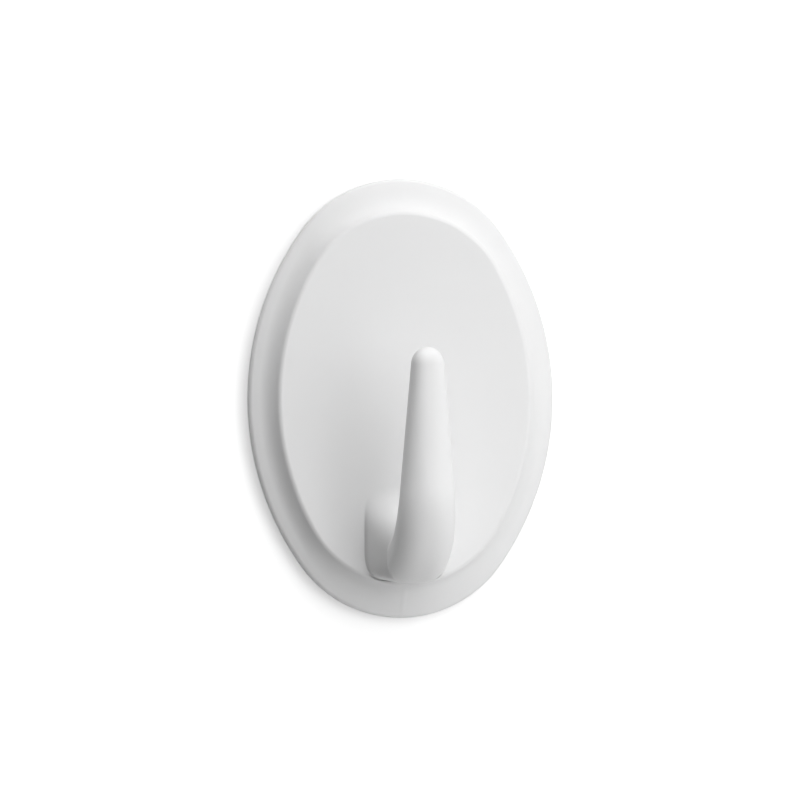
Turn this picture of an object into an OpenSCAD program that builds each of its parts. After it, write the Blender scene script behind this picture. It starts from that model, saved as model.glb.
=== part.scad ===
// Oval adhesive wall hook.
// An oval moulded cover carries the hook arm. It hangs on a base plate by four lugs
// and slides up the wall to come off. A stretch-release foam strip holds the plate.
// Every piece is drawn with X to the right, Y up the wall and Z out of the wall,
// and on_wall() then stands the wall upright, with the front facing -Y.

/* [Oval cover] */
// Height of the oval
cover_h = 60; // [56:0.5:68]
// Width of the oval
cover_w = 42.4; // [41:0.2:46]
// Radius of the round ends of the outer edge
end_radius = 17; // [16:0.1:18]
// Width of the rim, from the outer edge to the edge of the raised face
rim_w = 4.3; // [4:0.1:5]
// Thickness of the lip at the outer edge
lip_t = 1.55; // [1.2:0.05:2]
// Rounding of the lip's front edge
lip_round = 0.4; // [0.2:0.05:0.6]
// Wall behind the raised face
wall_t = 1.6; // [1.4:0.1:2.2]
// Wall behind the hollow of the rim
rim_wall_t = 1.9; // [1.8:0.1:2.2]
// Space between the back of the base plate and the back edge of the cover
rim_gap = 0.3; // [0.2:0.05:0.6]

/* [Hook arm] */
// Clear width of the throat between the raised face and the stem
throat_w = 12.2; // [10:0.1:15]
// Depth of the throat's round bottom
throat_d = 5.3; // [4.4:0.1:6.2]
// Top of the root on the face, below the middle of the oval
root_top_down = 12.1; // [11:0.1:13]
// Bottom of the root on the face, below the middle of the oval
root_bottom_down = 24.6; // [24:0.1:24.8]
// Width of the root on the face
root_w = 11.3; // [9.6:0.1:12]
// Width of the neck, at the arm's lowest point
neck_w = 6.4; // [5.8:0.1:7.2]
// Lowest point of the arm, below the middle of the oval
belly_down = 24.85; // [24:0.05:26]
// Distance from the raised face to that lowest point
belly_reach = 4.8; // [4.2:0.1:5.6]
// Width of the belly, where the arm swells below the stem
belly_w = 8.1; // [7.4:0.1:9]
// Width of the stem at its foot
stem_w = 7.25; // [6.4:0.05:8.4]
// Thickness of the stem at its foot
stem_t = 5.5; // [4.6:0.1:6.2]
// Distance from the raised face to the middle of the tip
tip_reach = 15; // [13:0.1:17]
// Height of the tip above the middle of the oval
tip_up = 6.8; // [2:0.1:12]
// Width of the stem below its round tip
tip_w = 4.4; // [3.6:0.1:5.6]
// Thickness of the stem below its round tip
tip_t = 4; // [3.4:0.1:4.8]
// Length of the round tip
tip_len = 2.5; // [1.8:0.1:3.2]

/* [Base plate] */
// Width of the base plate without its ears
plate_w = 15.5; // [15.2:0.1:16]
// Height of the base plate
plate_h = 28.5; // [27.5:0.5:29.5]
// Height of its top edge above the middle of the oval
plate_top = 17.5; // [17:0.1:18]
// Thickness of the base plate
plate_t = 2.4; // [2.2:0.1:2.8]
// Radius of its corners
plate_corner = 4; // [3:0.5:5]
// Floor under the pocket in its front
floor_t = 1.3; // [1:0.1:1.6]
// Border round the pocket
border_w = 1.8; // [1.4:0.1:2.2]
// How far each ear stands out to the side
ear_reach = 1.8; // [1.4:0.1:1.9]
// Thickness of an ear
ear_t = 1; // [0.8:0.05:1.2]
// Height of an ear
ear_h = 7.5; // [6.5:0.1:7.8]
// Distance from the bottom edge of the plate to the lower ears
ear_bottom_in = 1.5; // [1:0.1:2]
// Distance from the top edge of the plate to the upper ears
ear_top_in = 3; // [2.5:0.1:3.5]
// Height of the ribs across the pocket
rib_t = 1; // [0.8:0.1:1.4]

/* [Click tongue] */
// Width of the springy tongue in the floor
tongue_w = 5; // [4:0.1:6]
// Length of the tongue
tongue_len = 9; // [8:0.1:10]
// Height of the root of the tongue above the bottom of the plate
tongue_up = 7; // [6.5:0.1:7.5]
// Width of the slot round the tongue
tongue_slot = 0.8; // [0.6:0.1:1]
// Radius of the button on the tongue
button_r = 1; // [0.8:0.1:1.2]

/* [Fits] */
// Running clearance between the lugs and the ears
slide_gap = 0.15; // [0.1:0.01:0.2]
// Clearance between the front of the plate and the cover
face_gap = 0.2; // [0.15:0.01:0.3]
// Clearance between the top edge of the plate and the stop
stop_gap = 0.1; // [0.05:0.01:0.2]
// Clearance between the button and the cover
button_gap = 0.1; // [0.06:0.01:0.15]
// Clearance round the button in its dimple
dimple_gap = 0.5; // [0.3:0.05:0.7]
// Thickness of the lugs and of the stop
lug_t = 1.4; // [1.2:0.1:1.6]
// How much shorter a lug is than its ear
lug_short = 0.5; // [0.3:0.1:0.8]
// Width of the stop
stop_w = 12; // [9:0.5:13]

/* [Adhesive strip] */
// Width of the strip
strip_w = 15; // [14:0.1:15.2]
// Length of the bare tab below the plate
tab_len = 11; // [9:0.5:13]
// Radius of the strip's corners
strip_corner = 3; // [2:0.1:4]
// Thickness of each adhesive layer
adhesive_t = 0.1; // [0.06:0.01:0.15]
// Thickness of each carrier film
film_t = 0.05; // [0.04:0.01:0.08]
// Thickness of the foam core
foam_t = 0.8; // [0.6:0.05:1]
// Thickness of the film on each side of the tab
tab_film_t = 0.06; // [0.04:0.01:0.06]
// Space between the adhesive and the film on the tab
tab_gap = 0.3; // [0.2:0.05:0.5]

/* [Hidden] */
$fn = 96;

// Cuts run this far past the faces that they open
overrun = 0.5;

// Layers of the strip, counted from the wall
wall_film_z = adhesive_t;
foam_z = wall_film_z + film_t;
plate_film_z = foam_z + foam_t;
plate_adhesive_z = plate_film_z + film_t;
strip_t = plate_adhesive_z + adhesive_t;

// Depths of the plate and of the cover, counted from the wall
plate_front_z = strip_t + plate_t;
ear_back_z = plate_front_z - ear_t;
ceiling_z = plate_front_z + face_gap;
face_z = ceiling_z + wall_t;
back_z = strip_t + rim_gap;
lip_front_z = back_z + lip_t;
face_rise = face_z - lip_front_z;

// Outline of the cover: two end arcs and two side arcs, tangent where they meet.
// The side radius is rounded to a fine step, so that the arcs share one face where they meet.
half_w = cover_w / 2;
half_h = cover_h / 2;
end_up = half_h - end_radius;
arc_step = 0.001;
side_radius = arc_step
    * round((half_w ^ 2 + end_up ^ 2 - end_radius ^ 2) / (2 * (half_w - end_radius)) / arc_step);
centre_gap = side_radius - end_radius;
joint_angle = atan2(end_up, side_radius - half_w);
spare_angle = 5;

// Hollow curve of the rim, which ends square to the face
cove_r = min(face_rise, rim_w - lip_round);
cove_in = rim_w - cove_r;
cove_z = lip_front_z + cove_r;

// Base plate and the ears on its sides
plate_bottom = plate_top - plate_h;
ear_edge = plate_w / 2 + ear_reach;
ear_middles = [
    plate_bottom + ear_bottom_in + ear_h / 2,
    plate_top - ear_top_in - ear_h / 2
];
lug_inside = plate_w / 2 + slide_gap;
lug_outside = ear_edge + slide_gap + lug_t;
lug_h = ear_h - lug_short;
lug_front_z = ear_back_z - slide_gap;
pocket_w = plate_w - 2 * border_w;
pocket_h = plate_h - 2 * border_w;
pocket_corner = plate_corner - border_w;
plate_middle = plate_top - plate_h / 2;
tongue_bottom = plate_bottom + tongue_up;
tongue_top = tongue_bottom + tongue_len;
button_up = tongue_top - tongue_w / 2;
button_z = ceiling_z - button_gap;
dimple_r = button_r + dimple_gap;
dimple_t = wall_t / 4;
rib_shares = [0.17, 0.7];

// The arm is lofted over rings between its inner side, which holds the load, and its outer side.
// A point of either side is [distance from the face, height].
ring_sides = 32;
root_rings = 11;
belly_rings = 12;
stem_rings = 4;
tip_rings = 6;
// How late the belly slims on its way to the stem: 1 is straight
belly_slim = 2.2;
// The arm is widest at this share of the way from its lowest point to the stem
widest_share = 0.15;
// Squareness of a ring: 2 is an ellipse, more is squarer
root_square = 4.5;
arm_square = 2.4;
throat_r = throat_w / 2;
belly_drop = belly_down - root_top_down;
belly_out = throat_w + stem_t - belly_reach;
belly_start = asin(belly_reach / belly_out);
belly_foot = root_top_down + belly_drop * cos(belly_start);
stem_top = tip_up - tip_len;

function mix(a, b, k) = a + (b - a) * k;

// A share that starts and ends gently
function eased(k) = k * k * (3 - 2 * k);

function squared(v, square) = sign(v) * abs(v) ^ (2 / square);

// The inner side is half an ellipse round the throat, and turns from -90 at the face to 90 at the stem
function inner(turn) = [throat_r + throat_r * sin(turn), -root_top_down - throat_d * cos(turn)];

// The outer side is part of an ellipse below the arm, which starts part way round, at the face
function outer(turn) = [belly_reach + belly_out * sin(turn), -root_top_down - belly_drop * cos(turn)];

// A station of the arm: [point of the inner side, point of the outer side, half width, squareness]
function root_station(k) = [
    inner(mix(-90, 0, k)),
    outer(mix(-belly_start, 0, k)) - [0, (root_bottom_down - belly_foot) * (1 - k) ^ 2],
    mix(root_w, neck_w, eased(k)) / 2,
    mix(root_square, arm_square, k)
];

// The belly swells from the neck to its widest point and then slims down towards the stem
function belly_width(k) = k < widest_share
    ? mix(neck_w, belly_w, eased(k / widest_share))
    : mix(belly_w, stem_w, ((k - widest_share) / (1 - widest_share)) ^ belly_slim);

function belly_station(k) = [inner(90 * k), outer(90 * k), belly_width(k) / 2, arm_square];

function stem_station(k) = [
    mix(inner(90), [tip_reach - tip_t / 2, stem_top], k),
    mix(outer(90), [tip_reach + tip_t / 2, stem_top], k),
    mix(stem_w, tip_w, k) / 2,
    arm_square
];

function tip_station(k) =
    let (half_t = [tip_t / 2 * cos(90 * k), 0])
    let (middle = [tip_reach, stem_top + tip_len * sin(90 * k)])
    [middle - half_t, middle + half_t, tip_w / 2 * cos(90 * k), arm_square];

// The first ring is sunk to the middle of the wall, so that the arm grows out of the cover
function sunk(s) = [s[0] - [wall_t / 2, 0], s[1] - [wall_t / 2, 0], s[2], s[3]];

// Rings crowd towards the face
stations = [
    sunk(root_station(0)),
    for (i = [0 : root_rings]) root_station(1 - cos(90 * i / root_rings)),
    for (i = [1 : belly_rings]) belly_station(i / belly_rings),
    for (i = [1 : stem_rings]) stem_station(i / stem_rings),
    for (i = [1 : tip_rings]) tip_station(i / (tip_rings + 1))
];

function ring_point(s, turn) =
    let (across = s[2] * squared(cos(turn), s[3]))
    let (side = (s[0] + s[1]) / 2 + (s[0] - s[1]) / 2 * squared(sin(turn), s[3]))
    [across, side[1], face_z + side[0]];

module on_wall() {
    rotate([90, 0, 0]) children();
}

// Sweeps a profile round the oval. In the profile, X is 0 at the outer edge and falls inwards.
module oval_sweep() {
    for (side = [0, 1]) mirror([side, 0, 0])
        for (end = [0, 1]) mirror([0, end, 0]) oval_quarter() children();
}

// One quarter: an end arc and a side arc on either side of the line through their centres.
// Both arcs run a little too far and are cut off square at the middle planes.
module oval_quarter() {
    intersection() {
        translate([0, end_up, 0]) rotate([0, 0, joint_angle]) {
            rotate_extrude(start = 0, angle = 90 - joint_angle + spare_angle)
                from_axis(end_radius) children();
            translate([-centre_gap, 0, 0])
                rotate_extrude(start = -joint_angle - spare_angle, angle = joint_angle + spare_angle)
                    from_axis(side_radius) children();
        }
        cube([half_w + overrun, half_h + overrun, face_z + overrun]);
    }
}

// Moves a profile out to its radius and leaves only what lies on the near side of the axis
module from_axis(radius) {
    intersection() {
        translate([radius, 0]) children();
        square([radius + overrun, face_z + overrun]);
    }
}

// Section of the cover as if it were solid: lip, hollow rim and raised face
module cover_section() {
    difference() {
        union() {
            translate([-cover_h, back_z]) square([cover_h, lip_t - lip_round]);
            translate([-cover_h, back_z]) square([cover_h - lip_round, face_z - back_z]);
            translate([-lip_round, lip_front_z - lip_round]) circle(lip_round);
        }
        translate([-cove_in, lip_front_z]) square([cove_in, face_rise + overrun]);
        translate([-cove_in, cove_z]) circle(cove_r);
        translate([-rim_w, cove_z]) square([rim_w, face_rise + overrun]);
    }
}

// Section of the hollow in the back of the cover
module hollow_section() {
    difference() {
        translate([-cover_h, back_z - overrun])
            square([cover_h - cove_in, ceiling_z - back_z + overrun]);
        translate([-cove_in, cove_z]) circle(cove_r + rim_wall_t);
    }
}

module arm() {
    rings = len(stations);
    points = [
        for (s = stations) for (j = [0 : ring_sides - 1]) ring_point(s, 360 * j / ring_sides)
    ];
    sides = [
        for (i = [0 : rings - 2]) for (j = [0 : ring_sides - 1])
            let (a = i * ring_sides + j)
            let (b = i * ring_sides + (j + 1) % ring_sides)
            each [[a, a + ring_sides, b], [b, a + ring_sides, b + ring_sides]]
    ];
    root_cap = [[for (j = [0 : ring_sides - 1]) j]];
    tip_cap = [[for (j = [ring_sides - 1 : -1 : 0]) (rings - 1) * ring_sides + j]];
    polyhedron(points, concat(sides, root_cap, tip_cap));
}

// One L-shaped lug on the right, which reaches behind an ear
module lug(middle) {
    bottom = middle - lug_h / 2;
    translate([ear_edge + slide_gap, bottom, back_z])
        cube([lug_t, lug_h, ceiling_z + wall_t / 2 - back_z]);
    translate([lug_inside, bottom, back_z])
        cube([lug_outside - lug_inside, lug_h, lug_front_z - back_z]);
}

module lugs() {
    for (side = [0, 1]) mirror([side, 0, 0]) for (middle = ear_middles) lug(middle);
}

// The stop lands on the top edge of the plate and carries the load
module stop() {
    translate([-stop_w / 2, plate_top + stop_gap, back_z])
        cube([stop_w, lug_t, ceiling_z + wall_t / 2 - back_z]);
}

module hook_cover() {
    color("white") on_wall() difference() {
        union() {
            difference() {
                oval_sweep() cover_section();
                oval_sweep() hollow_section();
            }
            arm();
            lugs();
            stop();
        }
        translate([0, button_up, ceiling_z - overrun]) cylinder(r = dimple_r, h = overrun + dimple_t);
    }
}

// A block with round corners of radius r, its low left corner at [-w / 2, bottom]
module rounded_block(w, bottom, h, z, t, r) {
    translate([-w / 2 + r, bottom, z]) cube([w - 2 * r, h, t]);
    translate([-w / 2, bottom + r, z]) cube([w, h - 2 * r, t]);
    for (x = [-1, 1]) for (y = [bottom + r, bottom + h - r])
        translate([x * (w / 2 - r), y, z]) cylinder(r = r, h = t);
}

// The same block with its round corners only at the top
module round_top_block(w, bottom, h, z, t, r) {
    translate([-w / 2 + r, bottom, z]) cube([w - 2 * r, h, t]);
    translate([-w / 2, bottom, z]) cube([w, h - r, t]);
    for (x = [-1, 1]) translate([x * (w / 2 - r), bottom + h - r, z]) cylinder(r = r, h = t);
}

module ears() {
    for (middle = ear_middles)
        translate([-ear_edge, middle - ear_h / 2, ear_back_z]) cube([2 * ear_edge, ear_h, ear_t]);
}

module pocket() {
    rounded_block(pocket_w, plate_bottom + border_w, pocket_h, strip_t + floor_t, plate_t, pocket_corner);
}

module pocket_ribs() {
    for (share = rib_shares)
        translate([-pocket_w / 2 - border_w / 2, plate_bottom + share * plate_h, strip_t])
            cube([pocket_w + border_w, rib_t, plate_t]);
}

module tongue_slots() {
    slot_z = strip_t - overrun;
    slot_t = floor_t + 2 * overrun;
    for (x = [-tongue_w / 2 - tongue_slot, tongue_w / 2])
        translate([x, tongue_bottom, slot_z]) cube([tongue_slot, tongue_len + tongue_slot, slot_t]);
    translate([-tongue_w / 2, tongue_top, slot_z]) cube([tongue_w, tongue_slot, slot_t]);
}

module button() {
    translate([0, button_up, strip_t + floor_t / 2])
        cylinder(r = button_r, h = button_z - strip_t - floor_t / 2);
}

module base_plate() {
    color("whitesmoke") on_wall() union() {
        difference() {
            union() {
                rounded_block(plate_w, plate_bottom, plate_h, strip_t, plate_t, plate_corner);
                ears();
            }
            difference() {
                pocket();
                pocket_ribs();
            }
            tongue_slots();
        }
        button();
    }
}

// Foam and carrier films run the full length of the strip
module strip_layer(z, t) {
    rounded_block(strip_w, plate_bottom - tab_len, plate_h + tab_len, z, t, strip_corner);
}

// Adhesive covers only what lies behind the plate
module adhesive_layer(z) {
    round_top_block(strip_w, plate_bottom, plate_h, z, adhesive_t, strip_corner);
}

// The tab's film ends in the round corners of the strip
module tab_film(z) {
    mirror([0, 1, 0])
        round_top_block(strip_w, tab_gap - plate_bottom, tab_len - tab_gap, z, tab_film_t, strip_corner);
}

module plate_adhesive() {
    color("ivory") on_wall() adhesive_layer(plate_adhesive_z);
}

module plate_film() {
    color("gainsboro") on_wall() strip_layer(plate_film_z, film_t);
}

module foam_core() {
    color("whitesmoke") on_wall() strip_layer(foam_z, foam_t);
}

module wall_film() {
    color("gainsboro") on_wall() strip_layer(wall_film_z, film_t);
}

module wall_adhesive() {
    color("ivory") on_wall() adhesive_layer(0);
}

module tab_front_film() {
    color("silver") on_wall() tab_film(plate_adhesive_z);
}

module tab_back_film() {
    color("silver") on_wall() tab_film(wall_film_z - tab_film_t);
}

hook_cover();
base_plate();
plate_adhesive();
plate_film();
foam_core();
wall_film();
wall_adhesive();
tab_front_film();
tab_back_film();
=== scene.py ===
"""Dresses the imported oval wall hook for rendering.

The moulded cover, its lugs, the base plate and the stretch-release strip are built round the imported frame, in
metres, with X to the right, Z up the wall and -Y out of the wall.
"""

import math

import bmesh
import bpy
from bpy.props import FloatProperty, FloatVectorProperty, PointerProperty
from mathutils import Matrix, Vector


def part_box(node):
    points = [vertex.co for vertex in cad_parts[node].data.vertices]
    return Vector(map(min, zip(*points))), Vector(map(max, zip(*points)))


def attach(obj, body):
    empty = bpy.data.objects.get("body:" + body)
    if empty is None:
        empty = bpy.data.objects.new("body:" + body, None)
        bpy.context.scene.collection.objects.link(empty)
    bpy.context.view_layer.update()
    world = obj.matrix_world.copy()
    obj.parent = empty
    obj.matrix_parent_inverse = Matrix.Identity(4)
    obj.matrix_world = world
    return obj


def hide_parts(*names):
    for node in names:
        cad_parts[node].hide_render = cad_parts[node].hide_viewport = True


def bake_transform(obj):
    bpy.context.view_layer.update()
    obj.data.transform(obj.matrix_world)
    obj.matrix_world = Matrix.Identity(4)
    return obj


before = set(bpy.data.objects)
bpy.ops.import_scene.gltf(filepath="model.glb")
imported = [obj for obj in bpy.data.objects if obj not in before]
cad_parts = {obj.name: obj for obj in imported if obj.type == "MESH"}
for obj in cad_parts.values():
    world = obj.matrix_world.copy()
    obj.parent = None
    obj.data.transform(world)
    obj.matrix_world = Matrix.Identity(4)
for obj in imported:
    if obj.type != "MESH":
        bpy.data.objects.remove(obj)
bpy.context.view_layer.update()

bl_info = {
    "name": "Oval Wall Hook",
    "version": (1, 0, 0),
    "blender": (4, 5, 0),
    "location": "View3D > Sidebar > Wall Hook",
    "description": "Builds the visible pieces of an oval adhesive wall hook on its packed frame",
    "category": "Add Mesh",
}

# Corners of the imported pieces' boxes, from which the dressed ones take their place
cover_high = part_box("hook_cover")[1]
plate_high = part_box("base_plate")[1]

# Steps of the cover's mesh, round the oval and along its section
SIDE_STEPS = 26
END_STEPS = 22
LOW_END_STEPS = 44
SEAM_STEPS = 4
ROUND_STEPS = 7
COVE_STEPS = 26
HOLLOW_STEPS = 12
ROOT_STEPS = 32
BELLY_STEPS = 48
STEM_STEPS = 26
TIP_STEPS = 18

# A quarter turn, the digits to which angles and heights are told apart, the least angle of a sharp edge,
# the distances within which points of a joined solid and of a skin are one, and the most that the facets
# of a flat face differ
QUARTER = math.pi / 2
DIGITS = 9
SHARP_ANGLE = math.radians(40)
WELD = 1e-6
SKIN_WELD = 1e-8
FLAT_ANGLE = math.radians(0.5)


def length(name, description, default):
    """A property that holds a length in metres."""
    return FloatProperty(
        name=name, description=description, default=default, min=0, precision=5, unit="LENGTH"
    )


def share(name, description, default):
    """A property that holds a plain number."""
    return FloatProperty(name=name, description=description, default=default, min=0, precision=3)


def angle(name, description, default):
    """A property that holds an angle, given in degrees."""
    return FloatProperty(name=name, description=description, default=math.radians(default), unit="ROTATION")


def power(name, description, default):
    """A property that holds a lamp's power in watts."""
    return FloatProperty(name=name, description=description, default=default, min=0, unit="POWER")


def colour(name, description, default):
    """A property that holds a linear colour."""
    return FloatVectorProperty(
        name=name, description=description, default=default, size=4, min=0, max=1, subtype="COLOR"
    )


class CoverSizes(bpy.types.PropertyGroup):
    """Sizes of the oval cover."""

    end_radius: length("Round ends", "Radius of the outer edge at the top and bottom", 0.017)
    face_end_radius: length("Round face", "Radius of the face's edge at the top and bottom", 0.0145)
    side_rim: length("Rim at the sides", "Width of the rim at the sides", 0.0038)
    end_rim: length("Rim at the ends", "Width of the rim at the top and bottom", 0.0047)
    lip_t: length("Lip", "Thickness of the lip at the outer edge", 0.00155)
    lip_round: length("Lip rounding", "Rounding of the lip's front edge", 0.0008)
    back_round: length("Back rounding", "Rounding of the edges at the back", 0.00015)
    land: length("Land", "Distance from the outer edge to the start of the hollow rim", 0.0014)
    land_slope: angle("Land slope", "Slope of the rim towards the outer edge", 18)
    cove_slope: angle("Hollow slope", "Slope of the hollow rim where it meets the face's rounded edge", 62)
    cove_curve: share("Hollow curve", "How far the hollow rim keeps its slope at either end", 0.36)
    face_rise: length("Face rise", "Height of the raised face above the lip", 0.00235)
    edge_round: length("Face rounding", "Rounding of the raised face's edge", 0.00075)
    wall_t: length("Wall", "Wall behind the raised face", 0.0016)
    rim_wall_t: length("Rim wall", "Wall behind the hollow of the rim", 0.0019)
    hollow_in: length("Hollow", "Distance from the outer edge to the middle of the rim's curve", 0.00195)
    dimple_r: length("Dimple", "Radius of the dimple for the click button", 0.0015)
    dimple_up: length("Dimple height", "Height of the dimple above the middle of the oval", 0.0025)
    dimple_t: length("Dimple depth", "Depth of the dimple", 0.0004)
    seam_w: length("Seam", "Width of the moulding seam", 0.0012)
    seam_h: length("Seam height", "Height of the moulding seam on the lower rim", 0.00003)
    seam_face_share: share("Seam on the face", "Height of the seam on the face, as a share of the rim's", 0.2)
    support: length("Support", "Distance of the loops that hold the flat face flat", 0.00008)


class ArmSizes(bpy.types.PropertyGroup):
    """Sizes of the hook arm."""

    throat_w: length("Throat", "Clear width between the face and the stem", 0.0122)
    throat_d: length("Throat depth", "Depth of the throat's round bottom", 0.0053)
    root_top_down: length("Root top", "Top of the root below the middle of the oval", 0.0121)
    root_bottom_down: length("Root bottom", "Bottom of the root below the middle of the oval", 0.0246)
    root_w: length("Root width", "Width of the root on the face", 0.0113)
    belly_down: length("Belly", "Lowest point of the arm below the middle of the oval", 0.02485)
    belly_reach: length("Belly reach", "Distance from the face to the lowest point", 0.0048)
    neck_w: length("Neck width", "Width of the arm at its lowest point, behind the belly", 0.0064)
    belly_w: length("Belly width", "Width of the arm where it is widest", 0.0081)
    belly_widest: share("Widest point", "Part of the way from the lowest point to the stem's foot", 0.15)
    belly_slim: share("Belly slimming", "How late the belly slims towards the stem: 1 is straight", 2.2)
    stem_w: length("Stem width", "Width of the stem at its foot", 0.00725)
    stem_t: length("Stem thickness", "Thickness of the stem at its foot", 0.0055)
    tip_reach: length("Tip reach", "Distance from the face to the middle of the tip", 0.015)
    tip_up: length("Tip height", "Height of the tip above the middle of the oval", 0.0068)
    tip_w: length("Tip width", "Width of the stem below the tip", 0.0044)
    tip_t: length("Tip thickness", "Thickness of the stem below the tip", 0.004)
    tip_len: length("Tip length", "Length of the round tip", 0.0025)
    root_fillet: length("Root fillet", "Fillet where the root leaves the face", 0.00015)
    root_square: share("Root squareness", "Squareness of the root: 2 is an ellipse", 4.5)
    saddle_square: share("Saddle squareness", "Squareness of the arm's inner side: 2 is an ellipse", 2.1)
    belly_square: share("Belly squareness", "Squareness of the arm's outer side at its lowest point", 3.2)
    foot_square: share("Foot squareness", "Squareness of the stem at its foot: 2 is an ellipse", 2.0)
    stem_square: share("Stem squareness", "Squareness of the stem at its top: 2 is an ellipse", 2.6)


class LugSizes(bpy.types.PropertyGroup):
    """Sizes of the lugs and the stop behind the cover, and of the base plate's ears that they catch."""

    lug_t: length("Lug", "Thickness of the lugs and of the stop", 0.0014)
    lug_h: length("Lug height", "Height of a lug", 0.007)
    lug_inside: length("Lug inside", "Distance from the middle to the tip of a lug", 0.0079)
    lug_outside: length("Lug outside", "Distance from the middle to the outer side of a lug", 0.0111)
    lug_foot: length("Lug foot", "Thickness of the part of a lug that reaches behind an ear", 0.00095)
    lug_low: length("Lower lugs", "Middle of the lower lugs below the middle of the oval", 0.00575)
    lug_pitch: length("Lug pitch", "Distance from the lower to the upper lugs", 0.0165)
    stop_w: length("Stop", "Width of the stop above the plate", 0.012)
    stop_gap: length("Stop gap", "Clearance between the plate and the stop", 0.0001)
    sunk: length("Root", "How far the lugs and the stop are sunk into the cover", 0.0008)
    eased: length("Eased edges", "Width of the eased edges of the lugs and the plate", 0.00012)


class StripSizes(bpy.types.PropertyGroup):
    """Sizes of the stretch-release strip."""

    corner: length("Corners", "Radius of the strip's corners", 0.003)
    row: length("Rows", "Height of one row of the strip's mesh, which stretches with the tab", 0.0005)


class Finishes(bpy.types.PropertyGroup):
    """Colours of the materials, as linear light."""

    cover: colour("Cover", "White of the cover", (0.83, 0.83, 0.83, 1))
    cover_deep: colour("Cover, deeper", "Slightly deeper white of the cover", (0.8, 0.802, 0.805, 1))
    plate: colour("Plate", "White of the base plate", (0.74, 0.74, 0.725, 1))
    plate_deep: colour("Plate, deeper", "Slightly deeper white of the base plate", (0.69, 0.69, 0.67, 1))
    adhesive: colour("Adhesive", "Pale cream of the adhesive", (0.8, 0.78, 0.69, 1))
    adhesive_deep: colour("Adhesive, deeper", "Deeper cream of the adhesive", (0.71, 0.68, 0.57, 1))
    film: colour("Film", "Milky white of the carrier film", (0.72, 0.74, 0.76, 1))
    foam: colour("Foam", "White of the foam", (0.84, 0.84, 0.82, 1))
    # Painted shade: a darker foam white for the sunken grooves between the foam's cells
    foam_groove_shade: colour("Foam cells", "Shade between the foam's cells", (0.66, 0.66, 0.64, 1))
    tab: colour("Tab film", "Milky white of the film on the tab", (0.77, 0.79, 0.81, 1))
    wall: colour("Wall", "White of the wall behind the hook", (0.8, 0.8, 0.8, 1))


class StageSettings(bpy.types.PropertyGroup):
    """Camera and light."""

    azimuth: angle("Azimuth", "Turn of the camera round the hook, to the left where negative", -10.75)
    distance: length("Distance", "Distance of the camera", 0.48)
    lens: FloatProperty(
        name="Lens", description="Focal length of the camera", default=157.4, precision=1, unit="CAMERA"
    )
    aim_right: length("Aim right", "How far to the right of the origin the camera aims", 0.00017)
    aim_down: length("Aim down", "How far below the origin the camera aims", 0.00021)
    key: power("Key", "Power of the lamp at the upper right", 1.85)
    side: power("Side", "Power of the lamp at the right", 2.2)
    front: power("Front", "Power of the lamp in front", 2.7)
    top: power("Top", "Power of the lamp above", 5.3)
    low: power("Low", "Power of the lamp below, at the right", 2.9)
    back: power("Back", "Power of the lamp behind the wall", 2.5)
    fill: share("Fill", "Strength of the even light from all round", 0.03)
    wall_glow: share("Wall glow", "Light that the wall adds for the camera alone", 0.44)


# Sockets of the Mix node for colours, which share their names with those for numbers
MIX_LOW = 6
MIX_HIGH = 7
MIX_RESULT = 2


class Shade:
    """A socket of a shader tree, on which plain arithmetic adds Math nodes."""

    def __init__(self, tree, socket=None):
        self.tree = tree
        self.socket = socket

    def node(self, kind, settings=None, inputs=None, output=0):
        """Adds a node of any kind: first its settings, then the values or links of its sockets."""
        made = self.tree.nodes.new(kind)
        for name, value in (settings or {}).items():
            setattr(made, name, value)
        for name, value in (inputs or {}).items():
            if isinstance(value, Shade):
                self.tree.links.new(value.socket, made.inputs[name])
            else:
                made.inputs[name].default_value = value
        return Shade(self.tree, made.outputs[output]) if made.outputs else None

    def math(self, operation, *values):
        return self.node("ShaderNodeMath", {"operation": operation}, dict(enumerate(values)))

    def __add__(self, other):
        return self.math("ADD", self, other)

    def __sub__(self, other):
        return self.math("SUBTRACT", self, other)

    def __rsub__(self, other):
        return self.math("SUBTRACT", other, self)

    def __mul__(self, other):
        return self.math("MULTIPLY", self, other)

    __radd__ = __add__
    __rmul__ = __mul__

    def mix(self, low, high):
        """A colour between low and high, by this value."""
        return self.node(
            "ShaderNodeMix", {"data_type": "RGBA"}, {"Factor": self, MIX_LOW: low, MIX_HIGH: high},
            output=MIX_RESULT,
        )

    def noise(self, scale, detail=2.0, roughness=0.5):
        """Cloudy noise on this place, with scale counted in grains a metre."""
        return self.node(
            "ShaderNodeTexNoise", None,
            {"Vector": self, "Scale": scale, "Detail": detail, "Roughness": roughness},
        )


def new_material(name):
    """An empty material and the handle of its tree."""
    material = bpy.data.materials.new(name)
    material.use_nodes = True
    material.node_tree.nodes.clear()
    return material, Shade(material.node_tree)


# Finish of the plastics: noise in grains a metre, depths in metres, and how far the noise dulls the gloss
DRIFT_SCALE = 70
DRIFT_DULLING = 0.08
GRAIN_DULLING = 0.06
MEAN_NOISE = 0.5
SUBSURFACE_RADIUS = (1.0, 0.95, 0.9)
SUBSURFACE_SCALE = 0.0006
COVER_GRAIN = 3200
COVER_GRAIN_DEPTH = 0.0000025
PLATE_GRAIN = 2200
PLATE_GRAIN_DEPTH = 0.000008


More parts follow.
